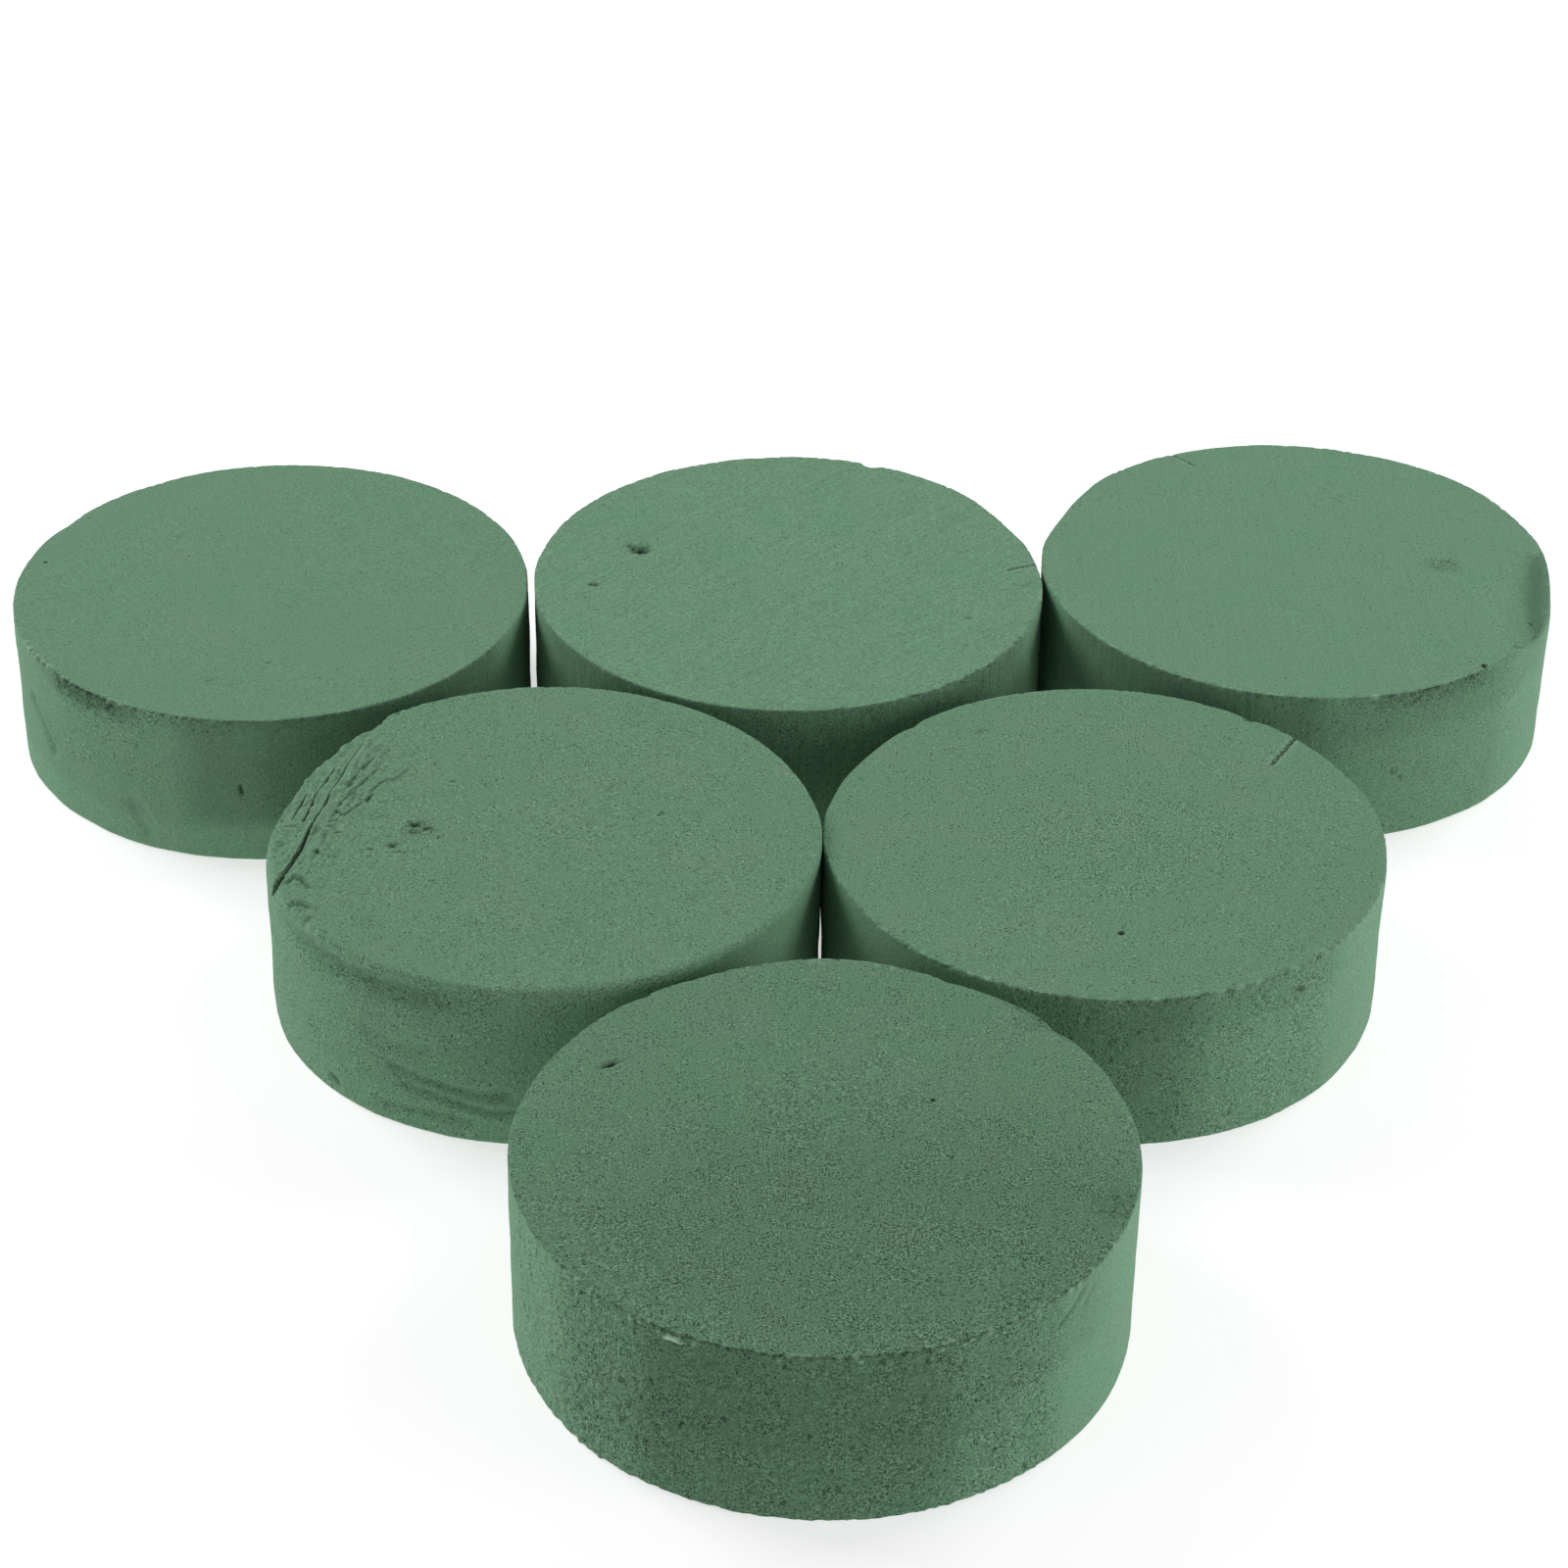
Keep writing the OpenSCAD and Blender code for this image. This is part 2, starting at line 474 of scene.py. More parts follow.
def ball_dent(disc, azimuth, out, ball_r, depth, soft=0.6):
    """A dent pressed in by a ball whose centre is at radius out. It reaches depth below the top face.

    Returns how much of each point the dent takes, from 0 to 1."""
    centre = polar(np.array([out]), np.array([azimuth]), disc.height - depth + ball_r)[0]
    away = disc.at - centre
    far = np.linalg.norm(away, axis=1)
    want = ball_r + soft * np.logaddexp(0, (far - ball_r) / soft)  # a smooth maximum of far and ball_r
    disc.at = centre + away * (want / far)[:, None]
    return ramp(ball_r - far, -2 * soft, 2 * soft)


def swell(disc, azimuth, half_width, low, amount):
    """The wall above a height stands out a little, as where a disc leans on its neighbour."""
    shape = bell(turn_between(disc.azimuth, azimuth), half_width) * ramp(disc.start[:, 2], low, low + 12)
    disc.push(amount * shape * disc.sideways)


def shade_hollows(disc, strength, weight=1.0):
    """Paints shade into what lies lower than its surroundings, and paints light onto what stands higher."""
    from_axis = np.hypot(disc.at[:, 0], disc.at[:, 1])
    for index, level in ((disc.top_index, disc.at[:, 2]), (disc.wall_index, from_axis)):
        field = level[index]
        soft = field
        for _ in range(3):
            wide = np.pad(soft, 1, mode="reflect", reflect_type="odd")
            soft = (wide[:-2, 1:-1] + wide[2:, 1:-1] + wide[1:-1, :-2] + wide[1:-1, 2:] + 4 * soft) / 8
        drop = np.zeros(len(disc.at))
        drop[index] = strength * (soft - field)
        disc.mark("dark", np.clip(drop, 0, 0.8) * weight)
        disc.mark("pale", np.clip(-0.6 * drop, 0, 0.3) * weight)


def near_rim(disc, reach):
    """1 on the top rim, and nothing at twice that reach from it."""
    inward = np.clip(disc.radius - disc.from_axis, 0, None)
    return bell(np.hypot(inward, disc.height - disc.start[:, 2]), reach)


def wear_rim(disc, depth, start=-180, end=180, size=1.5, wear_and_highlight=0.35, layer=40):
    """Nibbles out of the top rim, one to every few lumps of that size, with painted shade in them and pale
    specks between them, which are partly worn foam and partly painted highlight on the rim.
    """
    lumps = noise(disc.start / size, disc.seed + layer)
    share = near_rim(disc, 0.9) * window(disc.azimuth, start, end)
    bite = np.clip(lumps - 0.1, 0, None) * 2.5 * share
    disc.push(-depth * bite)
    disc.mark("dark", 0.1 * np.clip(bite, 0, 1))
    disc.mark("pale", wear_and_highlight * ramp(-lumps, 0.25, 0.5) * share)


def chips(disc, start, end, count, size, seed):
    """Crumbs missing from the top rim between two azimuths, with painted shade in each."""
    draw = np.random.default_rng(disc.seed * 100 + seed)
    for _ in range(count):
        r = size * draw.uniform(0.4, 1.4)
        place = (draw.uniform(start, end), disc.radius + draw.uniform(-0.1, 0.6) * r)
        bitten = ball_dent(disc, *place, r, draw.uniform(0.4, 1.1) * r, soft=0.15)
        disc.mark("dark", 0.15 * bitten)


def flake(disc, azimuth, z, size, stand):
    """A pale flake that stands out of the wall or the rim: size is its half width and half height."""
    around = np.radians(turn_between(disc.azimuth, azimuth)) * disc.radius
    far = np.hypot(around / size[0], (disc.start[:, 2] - z) / size[1])
    shape = (1 - ramp(far, 0.8, 1.2)) * (disc.from_axis > disc.radius - 1.5)
    disc.push(stand * shape)
    disc.mark("dark", -shape)
    disc.mark("pale", min(0.7 * size[0], 1.0) * shape)


def wall_pits(disc, start, end, count, size, seed):
    """Torn pores in the wall between two azimuths, a little taller than they are wide, with painted shade in
    each.
    """
    draw = np.random.default_rng(disc.seed * 100 + seed)
    for _ in range(count):
        azimuth, z = draw.uniform(start, end), draw.uniform(1, disc.height - 1)
        around = np.radians(turn_between(disc.azimuth, azimuth)) * disc.radius
        wide = size * draw.uniform(0.4, 1.1)
        lean = draw.uniform(-0.5, 0.5)
        rise = disc.start[:, 2] - z
        shape = bell(np.hypot((around - lean * rise) / wide, rise / (1.6 * wide)), 1.0) * disc.sideways
        disc.push(-0.6 * wide * shape)
        disc.mark("dark", 0.45 * shape)


def coarse_patch(disc, at, size, amount, depth=0.0, dark=0.0):
    """Part of the top face where the pores are torn open: size is its half length along x and y."""
    x, y = disc.flat()
    far = np.hypot((x - at[0]) / size[0], (y - at[1]) / size[1])
    shape = (1 - ramp(far, 0.4, 1.2)) * disc.upward
    disc.mark("grain", amount * shape)
    disc.mark("dark", dark * shape)
    if depth:
        roughen(disc, 1.3, depth, shape, layer=31)


def coarse_wall(disc, start, end, low, high, amount, depth=0.0, dark=0.0):
    """The same on the wall, between two azimuths and two heights. Its dark is partly the darker tone of torn
    pores and mostly painted shade, where the wall stands in shade; with dark under 0 it takes painted shade
    away, which pales a dark wall as painted light.
    """
    z = disc.start[:, 2]
    band = ramp(z, low - 3, low + 3) * (1 - ramp(z, high - 3, high + 3))
    shape = window(disc.azimuth, start, end, 10) * band * disc.sideways
    disc.mark("grain", amount * shape)
    disc.mark("dark", dark * shape)
    if depth:
        roughen(disc, 1.4, depth, shape, layer=32)


# ---------------------------------------------------------------- the six discs


def bumps(*places):
    """An outline from (azimuth, half width, mm) places: how far the rim stands out of its circle."""

    def outline(azimuth):
        total = 0 * azimuth
        for centre, half_width, mm in places:
            total = total + mm * bell(turn_between(azimuth, centre), half_width)
        return total

    return outline


def worn(base, *places):
    """The rounding of the top edge: a base radius, uneven all round, with softer places added."""
    softer = bumps(*places)

    def edge(azimuth):
        turn = np.radians(azimuth)
        ring = np.stack([9 * np.cos(turn), 9 * np.sin(turn), 0 * turn], axis=1)
        return np.clip(base + 0.25 * base * noise(ring, 5), 0.2, 4) + softer(azimuth)

    return edge


def mark_front(disc):
    """Coarse dark grain over its front, painted shade on its front wall, torn pores and flakes along the
    front rim, and a stabbed hole.
    """
    coarse_patch(disc, (0, 0), (110, 110), 0.5, dark=0.12)
    coarse_patch(disc, (10, -30), (75, 50), 0.5, 0.1, dark=0.13)
    coarse_patch(disc, (55, -17), (6, 6), 0.6, 0.3, dark=0.15)
    coarse_patch(disc, (42, 40), (5, 3), 0.5, 0.2, dark=0.12)

    # The wall is torn open and dark in front, partly from its torn pores and partly from painted shade, and
    # paler near the table, where less painted shade stands for the floor's light.
    coarse_wall(disc, -138, -50, -3, 42, 1.0, 0.3, dark=0.18)
    coarse_wall(disc, -118, -62, 16, 42, 0.0, dark=0.09)
    coarse_wall(disc, -120, -72, -3, 42, 0.2, dark=0.22)
    coarse_wall(disc, -56, -36, 22, 42, 0.0, dark=0.12)
    coarse_wall(disc, -170, -55, -3, 7, 0.0, dark=-0.08)
    coarse_wall(disc, -160, -132, -3, 42, 0.5, 0.25)
    wall_streaks(disc, 1.6, 0.14, -168, -122)
    wall_pits(disc, -142, -50, 40, 0.45, 3)
    wall_pits(disc, -162, -136, 16, 0.5, 5)
    wear_rim(disc, 0.4, -145, -25, size=1.0, wear_and_highlight=0.8)

    # Single marks in the top and the wall, then the chips and flakes of the rim.
    pit(disc, (-42, 25.5), (2.2, 0.7), 1.2, turn=30, dark=1.0)
    pin_hole(disc, (21, 15), 0.4)
    pit(disc, (24, -2.5), (0.5, 0.5), 0.6)
    groove(disc, [(-49, -2), (-43, -4)], 0.5, 0.25, dark=0.2)
    groove(disc, [(22, 58), (30, 52), (37, 47), (43, 41), (50, 33)], 0.8, 0.35, dark=0.12)
    wall_groove(disc, [(-37, 38), (-41, 34), (-46, 31)], 0.7, 0.35, dark=0.2)
    wall_groove(disc, [(-34, 36), (-39, 31)], 0.7, 0.3, dark=0.1)
    wall_groove(disc, [(-129, 22), (-127, 23)], 0.5, 0.5, dark=0.4)
    wall_groove(disc, [(-158, 17.5), (-157, 15.5)], 0.5, 0.4, dark=0.3)
    chips(disc, -145, -35, 26, 0.7, 1)
    chips(disc, 124, 130, 2, 1.4, 2)
    for azimuth in (-126, -124, -120, -113, -98, -84, -70, -66):
        flake(disc, azimuth, disc.height - 0.9, (0.5, 0.4), 0.3)
    flake(disc, -117, disc.height - 1.6, (2.1, 0.6), 0.6)


def crush_edge(disc):
    """The left edge of the middle left disc: a flap folded down along a crease, and wrinkles beside it."""
    x, y = disc.flat()
    crease = [(-38, 43), (-41.2, 35.7), (-44.1, 26.1), (-44.9, 21.2), (-46.7, 14.8), (-47.3, 10.4)]
    crease += [(-48.5, 6.1), (-49.8, 0.8), (-51.4, -8.1), (-53.3, -15.1), (-55.3, -20.2), (-56.2, -23.4)]

    # The flap, and the swollen lip on the near side of the crease, with painted shade on the lip.
    wander = 0.4 * noise(disc.start / 3.5, disc.seed + 50)
    gap, along, length, _ = distance_to(crease, x + wander, y)
    turned = disc.azimuth % 360
    fade = ramp(turned, 112, 128) * (1 - ramp(turned, 195, 208))
    beyond = np.clip(gap, 0, None)
    disc.sink((0.9 * ramp(gap, -0.5, 0.5) + 0.3 * beyond - 0.006 * beyond**2) * fade)
    lip = ramp(gap, -3.6, 0) * (gap < 0) * ramp(-y, -4, 6) * between_ends(along, length, 3) * disc.upward
    disc.push(-1.3 * lip)
    disc.mark("dark", 0.14 * lip)

    # Wrinkles on the flap and beside it.
    flap = ramp(gap, 0.3, 2.0) * fade * disc.upward
    beside = ramp(-gap, 0.3, 1.5) * bell(gap, 9) * between_ends(along, length, 12) * disc.upward
    folded = np.stack([gap / 1.2, along / 6, 0 * gap], axis=1)
    disc.push(0.75 * noise(folded, disc.seed + 51), beside)
    roughen(disc, 2.0, 0.5, beside, layer=52)
    disc.push(0.7 * noise(folded / 1.5, disc.seed + 53), flap)
    roughen(disc, 1.8, 0.4, flap, layer=54)

    # The crease itself, which gapes at its near end, and splits and folds round it.
    crack(disc, crease[1:], 1.8, reach=0.24, shadow=0.3)
    crack(disc, crease[4:], 2.2, reach=0.28, shadow=0.55)
    flap_split = [(-46.5, 27.5), (-48, 22.5), (-50, 17), (-50.7, 11.5), (-51.8, 4.5)]
    crack(disc, flap_split, 0.9, 0.8, reach=0.2, shadow=0.3)
    crack(disc, [(-52.2, 17.5), (-53.5, 11.5), (-54.2, 6)], 0.8, 0.75, reach=0.2, shadow=0.3)
    crack(disc, [(-50.5, 15), (-52.5, 12)], 0.6, 0.7, reach=0.2)
    crack(disc, [(-56, 4), (-53, 3.7)], 0.5, 0.6, reach=0.2)
    crack(disc, [(-45.2, 8), (-43, 5), (-41, 7.5)], 0.6, 0.8, reach=0.25)
    crack(disc, [(-45.4, -10.8), (-42.8, -10)], 0.5, 0.9)
    crack(disc, [(-37.2, -7.8), (-35, -7.3)], 0.6, 1.0)
    arcs = (
        [(-39, 9.5), (-38, 15.5), (-36.5, 18.5), (-33, 20.5)],
        [(-45, 8), (-42, 15.5), (-39.5, 20), (-37, 25)],
        [(-44, 16), (-42.5, 20), (-41, 24), (-38, 30)],
        [(-43, 6), (-39, 11.7), (-36.5, 15)],
        [(-35, 17.5), (-32, 22), (-30.5, 25)],
        [(-47.5, 0.5), (-44.5, 1.2)],
        [(-47, 3.4), (-43.5, 3.6)],
        [(-45.5, -1.8), (-43.5, -1), (-41.5, -1.8)],
        [(-49, -8.5), (-47, -7.8), (-45, -10.8)],
    )
    for path in arcs:
        fold(disc, path, 0.3, 0.5, dark=0.32)
    hooks = (
        [(-54, -21.5), (-51.2, -17.5), (-49, -19), (-46.5, -23)],
        [(-53, -30.5), (-50.5, -27.5), (-48, -28.2), (-45.5, -30)],
        [(-49, -35), (-47.5, -32.5), (-45.5, -33)],
    )
    for path in hooks:
        fold(disc, path, 0.5, 0.8, dark=0.3)
    ball_dent(disc, 214, 62, 7, 2.2, soft=1.0)
    wear_rim(disc, 0.9, 124, 141, size=1.8, wear_and_highlight=0.6, layer=41)
    # Painted shade in the hollows of the wrinkles, and painted light on their crests.
    shade_hollows(disc, 1.2, np.clip(0.7 * beside + flap, 0, 1))


def mark_middle_left(disc):
    """The disc with the crushed edge, which also has small pits in its top and ripples in its wall."""
    crush_edge(disc)
    coarse_patch(disc, (0, 0), (80, 80), 0.34, 0.02)
    coarse_patch(disc, (-34, -35), (3.5, 2.5), 0.5, 0.2, dark=0.1)
    pit(disc, (-27.4, 2.0), (1.8, 1.0), 0.9, dark=0.8)
    pit(disc, (-24.8, 0.6), (1.2, 0.9), 0.7, dark=0.7)
    pit(disc, (-27, -1.0), (1.3, 0.6), 0.5, dark=0.4)
    fold(disc, [(-29.5, -1.5), (-27, 0.4), (-24.5, -0.8)], 0.25, 0.6, dark=0.3)
    pit(disc, (-22, -3), (0.6, 0.5), 0.6, dark=0.8)
    pit(disc, (-31.5, -6), (1.2, 0.9), 0.8, dark=0.9)
    fold(disc, [(-32.5, -8.5), (-30, -8), (-27.5, -9)], 0.25, 0.6, dark=0.3)
    pit(disc, (-25, 26), (0.5, 0.4), 0.6, dark=0.7)
    pit(disc, (-20.5, 19), (0.7, 0.4), 0.6, dark=0.6)
    coarse_patch(disc, (-27, 0), (5, 4), 0.9, 0.35, dark=0.1)
    crack(disc, [(23.8, 6.4), (26.2, 7.4)], 0.5, 0.7)
    crack(disc, [(12.5, 15.5), (15, 19)], 0.4, 0.4)

    # Painted shade in the hollow under the slumped rim and in the ripples of the wall.
    hollow = [(-160, 36.5), (-150, 34.3), (-138, 33.2), (-124, 33.4), (-110, 34.5), (-94, 36)]
    wall_groove(disc, hollow, 3.2, 1.5, dark=0.2, fade=22)
    wall_groove(disc, [(-122, 15), (-112, 13.5), (-100, 12), (-92, 13)], 1.3, 0.8, dark=0.12)
    wall_groove(disc, [(-119, 11.5), (-109, 10), (-98, 8), (-90, 8.5)], 1.1, 0.7, dark=0.12)
    wall_groove(disc, [(-124, 3.5), (-112, 5.5), (-100, 5)], 1.2, 0.6, dark=0.1)
    wall_groove(disc, [(-128, 22), (-118, 20), (-108, 22)], 2.0, 0.5)
    wall_groove(disc, [(-138, 4.5), (-133, 2.5)], 0.8, 0.8, dark=0.4)
    coarse_wall(disc, -133, -126, 32, 37, 0.8, 0.4, dark=0.06)
    coarse_wall(disc, -110, -104, 33, 37, 0.8, 0.4, dark=0.06)
    # Torn pores on the wall, painted shade over it, and less painted shade near the table.
    coarse_wall(disc, -160, -60, -3, 40, 0.4, 0.06, dark=0.06)
    coarse_wall(disc, -122, -90, -3, 40, 0.0, dark=0.05)
    coarse_wall(disc, -165, -90, -3, 8, 0.0, dark=-0.1)
    swell(disc, 1.7, 14, 8, 0.3)


def mark_middle_right(disc):
    """A knife slit at the rim, a pin hole, and speckled grain in the middle."""
    crack(disc, [(38.5, 28.5), (44.8, 39.5), (48, 45)], 3, reach=0.24, fade=0.4, shadow=0.15)
    pin_hole(disc, (1, -36.5), 0.7)
    pit(disc, (-25, 41.5), (2, 1), 0.3, dark=0.2)
    coarse_patch(disc, (2, -2), (30, 24), 0.55, 0.04)
    coarse_patch(disc, (0, 0), (80, 80), 0.35)
    # Torn pores on the wall, with painted shade where the front disc shades it.
    coarse_wall(disc, -108, -48, -3, 40, 0.65, 0.15, dark=0.09)
    coarse_wall(disc, -100, -80, -3, 40, 0.0, dark=0.25)
    coarse_wall(disc, -82, -44, 28, 42, 0.0, dark=0.13)
    wall_pits(disc, -100, -50, 14, 0.45, 3)
    wear_rim(disc, 0.45, -150, -40, size=1.3, wear_and_highlight=0.4)
    pit(disc, (35, 47.5), (2.2, 0.8), 0.5, turn=-50, dark=0.2)
    wall_groove(disc, [(-53, 32), (-50, 30)], 0.8, 0.5, dark=0.4)
    swell(disc, -178.3, 14, 8, 0.2)


def mark_back_left(disc):
    """A notch in its far left rim, a torn patch on its near left rim, and creases in the wall."""
    pin_hole(disc, (-55, 10), 0.4)
    ball_dent(disc, 151, 70, 15, 4)
    coarse_patch(disc, (0, 0), (80, 80), 0.06)
    # Painted shade on the wall where its neighbours shade it, less of it near the table, and torn patches.
    coarse_wall(disc, -175, -95, -3, 42, 0.0, dark=0.1)
    coarse_wall(disc, -98, -30, 10, 42, 0.0, dark=0.25)
    coarse_wall(disc, -82, -30, 10, 42, 0.2, dark=0.18)
    coarse_wall(disc, -175, -80, -3, 8, 0.0, dark=-0.12)
    coarse_wall(disc, -145, -65, 36, 42, 0.2, dark=0.16)
    coarse_wall(disc, -134, -121, 33, 40, 1.0, 0.9, dark=0.36)
    coarse_wall(disc, -131, -116, 16, 35, 0.3, 0.15)
    coarse_wall(disc, -112, -98, 33, 40, 0.5, 0.2)
    wear_rim(disc, 0.6, -152, -116, size=1.3, wear_and_highlight=0.8)
    wear_rim(disc, 0.25, -116, -60, size=1.3, wear_and_highlight=0.3, layer=41)
    wall_groove(disc, [(-154, 24.5), (-148, 21.5), (-143.5, 17.5), (-141.5, 12)], 1.6, 0.8, dark=0.14)
    wall_groove(disc, [(-151, 25), (-145, 22), (-140.5, 16)], 1.4, -0.4)
    wall_groove(disc, [(-119, 13), (-116, 8), (-112.5, 2)], 1.5, 0.6, dark=0.1)
    wall_groove(disc, [(-117, 13), (-114, 9), (-111, 5)], 1.3, 0.4, dark=0.05)
    wall_groove(disc, [(-91.5, 21), (-91, 17)], 0.5, 0.6, dark=0.6)
    pit(disc, (-9.5, -43), (1.3, 0.5), 0.35, turn=15, dark=0.4)
    pit(disc, (3, -35), (0.6, 0.5), 0.4, dark=0.5)


def mark_back_centre(disc):
    """Slanting saw lines, two soft dents, a nick in the far rim, and a split in the right one."""
    pit(disc, (-35.5, 12.5), (2.5, 1.9), 2.0, dark=1.0)
    pit(disc, (-38, 14), (1.2, 0.9), 0.8, dark=0.4)
    pit(disc, (-46, -4.5), (1.7, 0.7), 0.9, dark=0.8)
    pit(disc, (42, -18), (1, 0.6), 0.4)
    crack(disc, [(52, 4.5), (59.5, 7.3)], 2.5, 0.9, fade=0.4)
    ball_dent(disc, 70, 61.5, 3.0, 2.4, soft=0.3)
    saw_lines(disc, 43, 1.9, 0.07)
    coarse_patch(disc, (0, 0), (80, 80), 0.12)
    coarse_wall(disc, -120, -40, -3, 42, 0.4, 0.08)
    # Painted shade on the front wall, where the discs in front shade it.
    coarse_wall(disc, -150, -30, -3, 42, 0.0, dark=0.32)
    wall_streaks(disc, 1.4, 0.07)
    wear_rim(disc, 0.4, -75, -10, size=1.3, wear_and_highlight=0.3)


def mark_back_right(disc):
    """A thumb dent in its right rim, a scuff, a pin hole, and a slit in the far left rim."""
    thumbed = ball_dent(disc, -16, 81, 75, 7, soft=1.0)
    disc.mark("dark", 0.2 * thumbed * near_rim(disc, 9))
    groove(disc, [(58.5, 7), (57, -4), (56, -14), (55.6, -22), (55, -34)], 2.8, 0.4, dark=0.3)
    coarse_wall(disc, -72, -55, 35, 42, 0.8, 0.5, dark=0.2)
    coarse_patch(disc, (35, 0.5), (5, 4), 0.9, 0.2, dark=0.18)
    pit(disc, (54, -21.5), (0.6, 0.5), 0.4, dark=0.8)
    pit(disc, (47, -37), (0.7, 0.5), 0.4, dark=0.7)
    coarse_patch(disc, (49, -37), (5, 4), 0.8, 0.2)
    pin_hole(disc, (38.2, -46), 0.7)
    crack(disc, [(-19.5, 49), (-27, 56.5)], 1.2, 0.75, reach=0.25, fade=0.4, shadow=0.2)
    saw_lines(disc, 88, 1.5, 0.035)
    coarse_patch(disc, (0, 0), (80, 80), 0.08)
    coarse_wall(disc, -110, -40, -3, 42, 0.2, 0.07)
    # Painted shade on the front wall, where the discs in front shade it.
    coarse_wall(disc, -85, -20, -3, 42, 0.0, dark=0.09)
    coarse_wall(disc, -90, -48, -3, 42, 0.0, dark=0.13)
    coarse_wall(disc, -82, -26, 27, 42, 0.0, dark=0.12)
    coarse_wall(disc, -150, -95, -3, 42, 0.0, dark=0.35)
    wall_streaks(disc, 1.5, 0.08, -170, -100)
    wear_rim(disc, 0.5, -75, -50, size=1.3, wear_and_highlight=0.3)
    wear_rim(disc, 0.3, -140, -75, size=1.3, wear_and_highlight=0.45, layer=41)
    wall_groove(disc, [(-74, 18.5), (-72.5, 16.5)], 0.5, 0.6, dark=0.2)
    wall_groove(disc, [(-71.7, 16.4), (-70.5, 14.8)], 0.5, 0.6, dark=0.2)


def style(marks, edge, outline=bumps(), brightness=1.0, crowding=0.0, saw=(0, 0.0)):
    """What sets a disc apart. saw is the angle and the strength of the finest saw lines on its top face."""
    looks = {"brightness": brightness, "crowding": crowding, "saw": saw}
    return {"marks": marks, "edge": edge, "outline": outline, **looks}


DISCS = {
    "front_disc": style(
        mark_front,
        edge=worn(0.45),
        outline=bumps((88, 16, 1.7), (65, 2.5, -1.0), (40, 2.5, -0.9)),
    ),
    "middle_left_disc": style(
        mark_middle_left,
        edge=worn(0.6, (-163, 14, 2.6), (-80, 40, 1.6), (-24, 7, 1.2)),
        outline=bumps((165, 15, -1.3), (135, 4, -0.6), (1.7, 12, 0.45)),
        crowding=0.22,
    ),
    "middle_right_disc": style(
        mark_middle_right,
        edge=worn(0.45),
        outline=bumps((145, 20, -1.0), (53, 3, -0.6), (133, 2, -0.7), (-178.3, 12, 0.35)),
    ),
    "back_left_disc": style(mark_back_left, edge=worn(0.5), brightness=1.03),
    "back_centre_disc": style(
        mark_back_centre,
        edge=worn(0.45),
        outline=bumps((27, 12, -1.5), (8, 8, -0.5)),
        brightness=1.09,
        saw=(43, 1.0),
    ),
    "back_right_disc": style(
        mark_back_right,
        edge=worn(0.45),
        outline=bumps((42, 16, 0.9), (155, 14, -1.6)),
        brightness=1.07,
        crowding=-0.1,
        saw=(88, 0.5),
    ),
}


# ---------------------------------------------------------------- the foam


class Nodes:
    """A short way to add and link a material's nodes."""

    def __init__(self, material):
        material.use_nodes = True
        self.tree = material.node_tree
        self.shader = self.tree.nodes["Principled BSDF"]

    def add(self, kind, output, inputs=None, **settings):
        """Adds a node, sets it up, links or sets its inputs, and returns the named output."""
        node = self.tree.nodes.new(kind)
        for name, value in settings.items():
            setattr(node, name, value)
        for name, value in (inputs or {}).items():
            if isinstance(value, bpy.types.NodeSocket):
                self.tree.links.new(value, node.inputs[name])
            else:
                node.inputs[name].default_value = value
        return node.outputs[output]

    def mark(self, name):
        """One of the marks that are stored on the mesh."""
        return self.add("ShaderNodeAttribute", "Fac", attribute_name=name)

    def maths(self, operation, a, b):
        """a and b put together by a Math node."""
        return self.add("ShaderNodeMath", "Value", {0: a, 1: b}, operation=operation)

    def span(self, value, low, high, to_low, to_high):
        """The value's span from low to high stretched over another span."""
        limits = {"From Min": low, "From Max": high, "To Min": to_low, "To Max": to_high}
        return self.add("ShaderNodeMapRange", "Result", {"Value": value, **limits})

    def blend(self, kind, factor, a, b):
        """Two colours put together, with factor saying how much of b."""
        node = self.tree.nodes.new("ShaderNodeMix")
        node.data_type = "RGBA"
        node.blend_type = kind
        for name, value in {"Factor": factor, "A": a, "B": b}.items():
            wanted = "VALUE" if name == "Factor" else "RGBA"
            socket = next(s for s in node.inputs if s.name == name and s.type == wanted)
            if isinstance(value, bpy.types.NodeSocket):
                self.tree.links.new(value, socket)
            else:
                socket.default_value = value
        return next(s for s in node.outputs if s.type == "RGBA")

    def noise(self, place, scale, detail=2.0):
        """Smooth noise around 0.5."""
        inputs = {"Vector": place, "Scale": scale, "Detail": detail, "Roughness": 0.6}
        return self.add("ShaderNodeTexNoise", "Fac", inputs)

    def spots(self, place, scale, share, inner, outer):
        """1 in the middle of round spots, one in each cell of a pattern, of which that share is kept."""
        cells = {"Vector": place, "Scale": scale}
        far = self.add("ShaderNodeTexVoronoi", "Distance", cells)
        drawn = self.add("ShaderNodeTexVoronoi", "Color", cells)
        chance = self.add("ShaderNodeSeparateColor", "Red", {"Color": drawn})
        kept = self.maths("LESS_THAN", chance, share)
        return self.maths("MULTIPLY", self.span(far, inner, outer, 1.0, 0.0), kept)

    def lines(self, place, angle, stretch):
        """Places scaled by stretch after a turn about Z. Noise there makes lines along the smallest scale."""
        turn = (0, 0, -math.radians(angle))
        turned = self.add("ShaderNodeMapping", "Vector", {"Vector": place, "Rotation": turn})
        return self.add("ShaderNodeMapping", "Vector", {"Vector": turned, "Scale": stretch})


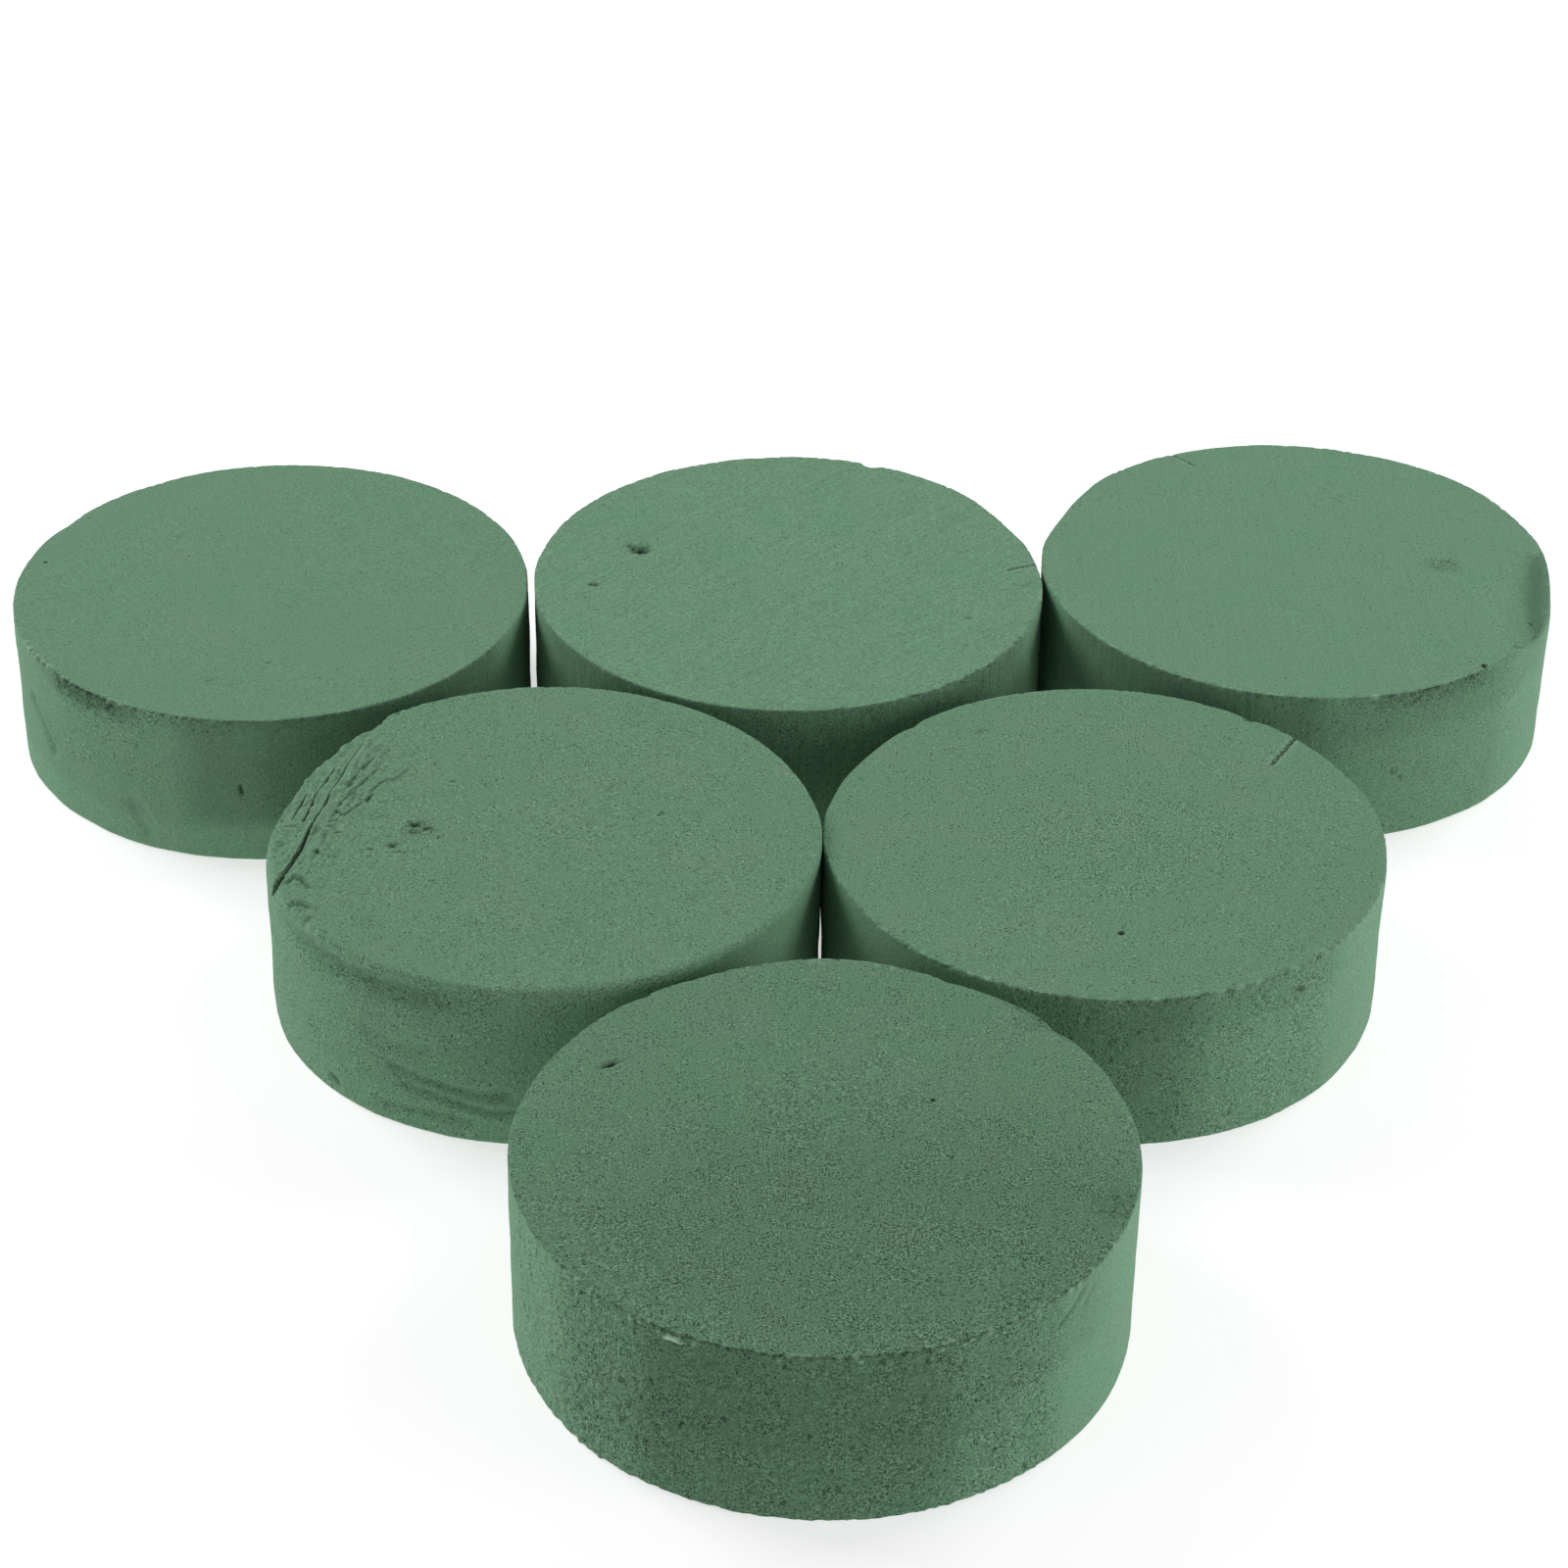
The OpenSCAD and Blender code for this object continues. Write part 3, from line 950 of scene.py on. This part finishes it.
def foam_material(name, brightness, saw):
    """Dry phenolic foam: dull green with fine open pores, coarser and darker where they are torn open, and
    the painted light and shade that the marks carry.
    """
    material = bpy.data.materials.new(name)
    n = Nodes(material)
    place = n.add("ShaderNodeTexCoord", "Object")
    foam_colours = (FOAM_GREEN, FOAM_GREY, FOAM_PALE, FOAM_DEEP)
    green, grey, pale, deep = ([brightness * c for c in colour] + [1] for colour in foam_colours)

    # The coarse grain comes in patches, and the green drifts a little towards grey.
    patchy = n.span(n.noise(place, PATCHES), 0.40, 0.62, 0.35, 1.0)
    grain = n.maths("MULTIPLY", n.mark("grain"), patchy)
    colour = n.blend("MIX", n.span(n.noise(place, CLOUDS, 3.0), 0.35, 0.65, 0.0, 1.0), green, grey)

    # Light and dark of the grain, of the saw lines on the top and of the blade's lines down the wall.
    saw_angle, saw_strength = saw
    fine = n.maths("SUBTRACT", n.noise(place, GRAIN, 1.0), 0.5)
    sawn = n.maths("SUBTRACT", n.noise(n.lines(place, saw_angle, (0.03, 1.0, 0.1)), LINES), 0.5)
    down = n.maths("SUBTRACT", n.noise(n.lines(place, 0, (1.0, 1.0, 0.12)), LINES), 0.5)
    fine_part = n.maths("MULTIPLY", fine, n.span(grain, 0.0, 1.0, 1.1, 3.6))
    sawn_part = n.maths("MULTIPLY", sawn, 0.35 * saw_strength)
    down_part = n.maths("MULTIPLY", n.maths("MULTIPLY", down, n.mark("streak")), 0.4)
    uneven = n.maths("ADD", n.maths("ADD", fine_part, sawn_part), down_part)
    shade = n.maths("ADD", uneven, 1.0)
    shade_grey = n.add("ShaderNodeCombineColor", "Color", {0: shade, 1: shade, 2: shade})
    colour = n.blend("MULTIPLY", 1.0, colour, shade_grey)

    # Open pores and pale flecks. The flecks' pattern is turned, so that it doesn't line up with the pores'.
    hole = n.spots(place, PORES, n.span(grain, 0.0, 1.0, 0.0, 0.60), 0.18, 0.40)
    turned = n.lines(place, 31, (1.0, 1.0, 1.0))
    light = n.spots(turned, FLECKS, n.span(grain, 0.1, 1.0, 0.0, 0.50), 0.12, 0.34)
    colour = n.blend("MIX", n.maths("MULTIPLY", hole, 0.9), colour, deep)
    colour = n.blend("MIX", n.maths("MULTIPLY", light, 0.85), colour, pale)
    # The marks' painted light and shade: pale is partly painted light, dark is mostly painted shade, and the
    # cut is painted shadow.
    colour = n.blend("MIX", n.maths("MULTIPLY", n.mark("pale"), 0.8), colour, pale)
    colour = n.blend("MIX", n.maths("MULTIPLY", n.mark("dark"), 0.95), colour, deep)
    colour = n.blend("MIX", n.span(n.mark("cut"), 0.5, 0.85, 0.0, 1.0), colour, CUT_SHADOW_BLACK)

    relief = n.maths("SUBTRACT", n.maths("MULTIPLY", uneven, 0.8), hole)
    bump = {"Height": relief, "Strength": 0.6, "Distance": 0.2 * MM}
    normal = n.add("ShaderNodeBump", "Normal", bump)
    n.tree.links.new(colour, n.shader.inputs["Base Color"])
    n.tree.links.new(normal, n.shader.inputs["Normal"])
    n.shader.inputs["Roughness"].default_value = 0.95
    n.shader.inputs["Specular IOR Level"].default_value = 0.25
    return material


# ---------------------------------------------------------------- from arrays to pieces


def bake_map(disc, faces):
    """Each corner's place on the square map that the material can be baked on.

    The top is a big circle, the underside a small one, and the wall is two strips, one for each half."""
    top, wall, foot, stitch = faces
    unit = disc.start[:, :2] / disc.radius
    on_top = np.array(MAP_TOP) + MAP_TOP_RADIUS * unit
    on_foot = np.array(MAP_FOOT) + MAP_FOOT_RADIUS * unit * (1, -1)
    rows, points = disc.wall_index.shape
    down = np.arange(rows) / (rows - 1)
    half = points // 2
    corners = []
    for row in range(rows - 1):
        k = np.arange(points)
        second = k >= half
        left = STRIP_LEFT + STRIP_WIDTH * (k - half * second) / half
        right = left + STRIP_WIDTH / half
        low = np.where(second, STRIP_LOWS[1], STRIP_LOWS[0]) + STRIP_HEIGHT * (1 - down[row + 1])
        high = low + STRIP_HEIGHT * (down[row + 1] - down[row])
        face = np.stack([left, low, right, low, right, high, left, high], axis=1)
        corners.append(face.reshape(-1, 2))
    below = [on_foot[foot.ravel()], on_foot[stitch.ravel()]]
    return np.concatenate([on_top[top.ravel()], *corners, *below])


def make_piece(node, disc, material):
    """Turns a disc's arrays into a Blender object in the frame."""
    faces = disc.faces()
    low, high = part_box(node)
    centre = np.array(((low.x + high.x) / 2, (low.y + high.y) / 2, low.z))
    c, s = math.cos(LAY_TURN), math.sin(LAY_TURN)
    turn = np.array(((c, -s, 0), (s, c, 0), (0, 0, 1)))
    places = disc.at @ turn.T * MM + centre
    name = node + "_foam"
    mesh = bpy.data.meshes.new(name)
    mesh.from_pydata(places.tolist(), [], [f for group in faces for f in group.tolist()])
    mesh.polygons.foreach_set("use_smooth", np.ones(len(mesh.polygons), bool))
    for mark, values in disc.marks.items():
        attribute = mesh.attributes.new(mark, "FLOAT", "POINT")
        attribute.data.foreach_set("value", values.astype(np.float32))
    layer = mesh.uv_layers.new(name="OFBake")
    layer.uv.foreach_set("vector", bake_map(disc, faces).astype(np.float32).ravel())
    mesh.materials.append(material)
    mesh.update()
    piece = bpy.data.objects.new(name, mesh)
    bpy.context.scene.collection.objects.link(piece)
    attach(piece, node)
    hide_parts(node)


def make_disc(number, node):
    """One disc, from its CAD box to its finished piece."""
    kind = DISCS[node]
    low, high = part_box(node)
    radius = (high.x - low.x) / 2 / MM
    height = (high.z - low.z) / MM
    disc = Disc(radius, height, 10 * number, kind["outline"], kind["edge"], kind["crowding"])

    # Slow waves, an uneven wall, and finer and finer lumps all over.
    roughen(disc, 30, 0.15, layer=1)
    roughen(disc, 12, 0.22, disc.sideways, layer=4)
    roughen(disc, 6, 0.06, layer=2)
    roughen(disc, 1.6, 0.04, layer=3)
    # Pale specks round the rim, partly painted highlight.
    wear_rim(disc, 0.15, wear_and_highlight=0.25, layer=42)

    kind["marks"](disc)
    # Painted shade in the hollows, and painted light on the lumps.
    shade_hollows(disc, 1.0)
    disc.at[:, 2] = np.clip(disc.at[:, 2], 0, None)  # nothing reaches below the table
    make_piece(node, disc, foam_material("foam_" + node, kind["brightness"], kind["saw"]))


make_camera()
make_light()
make_floor()
for number, node in enumerate(DISCS, start=1):
    make_disc(number, node)
